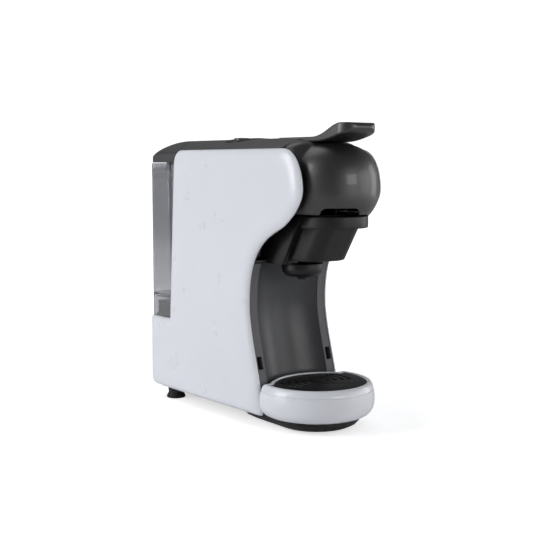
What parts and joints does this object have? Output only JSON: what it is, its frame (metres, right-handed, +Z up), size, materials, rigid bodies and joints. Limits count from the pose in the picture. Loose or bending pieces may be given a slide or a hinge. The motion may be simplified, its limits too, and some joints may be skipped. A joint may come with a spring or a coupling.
{
  "type": "pod coffee machine",
  "caption": "Slim capsule coffee machine with a domed brew head, lever press, pull-out capsule drawer, rear water tank and round drip tray.",
  "frame": {"origin": "middle of the footprint of the whole machine, on the surface it stands on", "axes": "+Z up; the machine faces -Y; +X is to the right when looking along +Y"},
  "size_m": [0.125, 0.31, 0.3165],
  "materials": {
    "white_shell": "smooth satin gloss, moulded",
    "gloss_black": "polished gloss, moulded",
    "dark_plastic": "fine satin texture",
    "column_gloss": "gloss dark grey",
    "rail_grey": "fine matt texture",
    "clear_tank": "clear, faint grey tint",
    "rubber": "matt",
    "steel": "satin",
    "aluminium": "die cast, satin",
    "circuit_board": "lacquered board",
    "silicone": "soft, translucent white"
  },
  "bodies": {
    "casing": {"left_side_panel": "white_shell", "right_side_panel": "white_shell", "rear_cover": "white_shell", "top_cover": "gloss_black", "head_housing": "gloss_black", "left_inner_cheek": "gloss_black", "right_inner_cheek": "gloss_black", "bulkhead": "dark_plastic", "brew_frame": "dark_plastic", "capsule_guide": "dark_plastic", "spout_bowl": "dark_plastic", "spout_nozzle": "dark_plastic", "base_plate": "dark_plastic", "tank_seat": "dark_plastic", "button_bezel": "dark_plastic", "switch_frame": "dark_plastic", "pump": "dark_plastic", "column_cover": "column_gloss", "left_rail": "rail_grey", "right_rail": "rail_grey", "rear_foot_left": "rubber", "rear_foot_right": "rubber", "front_pad_left": "rubber", "front_pad_right": "rubber", "seat_gasket": "rubber", "cord_bushing": "rubber", "pump_mount_front": "rubber", "pump_mount_rear": "rubber", "base_screw_1": "steel", "base_screw_2": "steel", "base_screw_3": "steel", "base_screw_4": "steel", "lever_pin": "steel", "pump_cradle": "steel", "heater": "aluminium", "control_board": "circuit_board", "flow_meter": "silicone", "suction_hose": "silicone", "pressure_hose": "silicone", "brew_hose": "silicone"},
    "lever": {"lever": "gloss_black", "crank_pin": "steel"},
    "press_link": {"press_link": "steel"},
    "press": {"press_head": "dark_plastic", "press_pin": "steel", "chamber_seal": "silicone", "water_plate": "steel"},
    "capsule_drawer": {"capsule_drawer": "dark_plastic"},
    "drip_tray": {"drip_tray": "white_shell"},
    "drip_grid": {"drip_grid": "gloss_black"},
    "water_tank": {"water_tank": "clear_tank", "tank_filter": "silicone"},
    "tank_lid": {"tank_lid": "gloss_black"},
    "tank_valve": {"tank_valve": "dark_plastic"},
    "button_left": {"button_left": "gloss_black"},
    "button_right": {"button_right": "gloss_black"},
    "power_switch": {"power_switch": "gloss_black"}
  },
  "joints": [
    {"name": "lever_hinge", "type": "hinge", "parent": "casing", "child": "lever", "pos_m": [0, -0.05, 0.291], "axis": [-1, 0, 0], "range_deg": [0, 75]},
    {"name": "link_hinge", "type": "hinge", "parent": "lever", "child": "press_link", "pos_m": [0, -0.06, 0.285], "axis": [1, 0, 0], "range_deg": [0, 75]},
    {"name": "press_slide", "type": "slide", "parent": "casing", "child": "press", "axis": [0, 0, 1], "range_m": [0, 0.01412]},
    {"name": "drawer_slide", "type": "slide", "parent": "casing", "child": "capsule_drawer", "axis": [0, -1, 0], "range_m": [0, 0.085]},
    {"name": "tray_slide", "type": "slide", "parent": "casing", "child": "drip_tray", "axis": [0, -1, 0], "range_m": [0, 0.09]},
    {"name": "grid_lift", "type": "slide", "parent": "drip_tray", "child": "drip_grid", "axis": [0, 0, 1], "range_m": [0, 0.05]},
    {"name": "tank_lift", "type": "slide", "parent": "casing", "child": "water_tank", "axis": [0, 0, 1], "range_m": [0, 0.19]},
    {"name": "lid_lift", "type": "slide", "parent": "water_tank", "child": "tank_lid", "axis": [0, 0, 1], "range_m": [0, 0.06]},
    {"name": "valve_slide", "type": "slide", "parent": "water_tank", "child": "tank_valve", "axis": [0, 0, 1], "range_m": [0, 0.003], "stiffness_N_per_m": 120, "springref_m": -0.003},
    {"name": "button_left_press", "type": "slide", "parent": "casing", "child": "button_left", "axis": [0, 0, -1], "range_m": [0, 0.0012], "stiffness_N_per_m": 400, "springref_m": -0.0008},
    {"name": "button_right_press", "type": "slide", "parent": "casing", "child": "button_right", "axis": [0, 0, -1], "range_m": [0, 0.0012], "stiffness_N_per_m": 400, "springref_m": -0.0008},
    {"name": "switch_rock", "type": "hinge", "parent": "casing", "child": "power_switch", "pos_m": [0.022, 0.149, 0.045], "axis": [1, 0, 0], "range_deg": [-8, 8]}
  ],
  "couplings": [
    {"joint": "link_hinge", "follows": "lever_hinge", "ratio": 1},
    {"joint": "press_slide", "follows": "lever_hinge", "m_per_rad": 0.010776}
  ]
}
